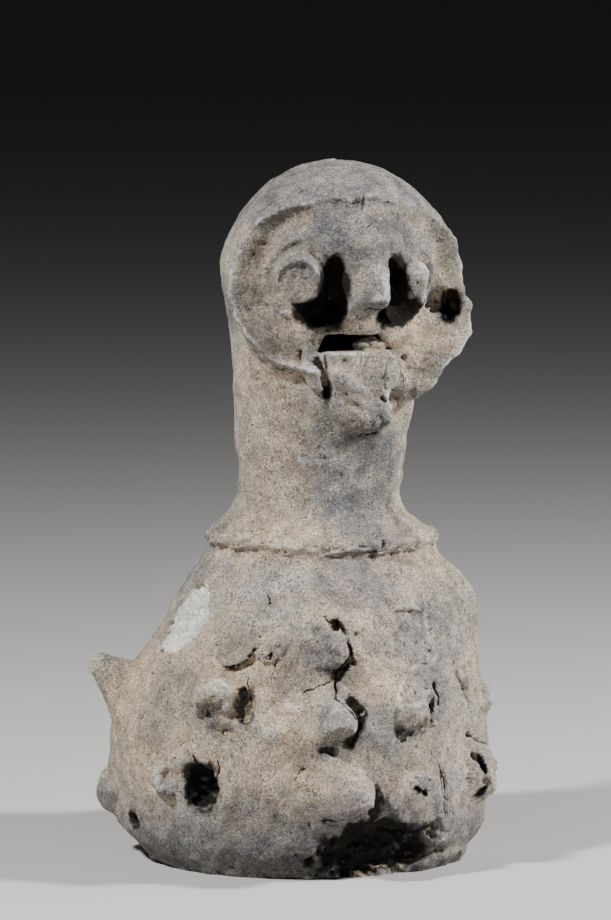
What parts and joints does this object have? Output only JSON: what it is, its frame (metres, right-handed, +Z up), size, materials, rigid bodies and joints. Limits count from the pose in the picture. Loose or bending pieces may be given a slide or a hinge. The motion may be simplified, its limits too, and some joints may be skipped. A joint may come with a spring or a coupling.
{
  "type": "figural healing vessel",
  "caption": "Hollow fired-clay healing vessel: a studded pot on a flat foot whose neck rises into a spirit's head with a flared mask, pellet eyes and a slot mouth.",
  "frame": {"origin": "the middle of the flat foot that the vessel stands on", "axes": "+Z up, -Y the way the face looks, +X the figure's left"},
  "size_m": [0.206, 0.2134, 0.332],
  "materials": {
    "pot_clay": "matt unglazed fired clay, dusty and smoke-stained",
    "head_clay": "matt unglazed fired clay, dusty and smoke-stained"
  },
  "bodies": {
    "root": {"vessel_body": "pot_clay", "head_and_neck": "head_clay"}
  },
  "joints": []
}
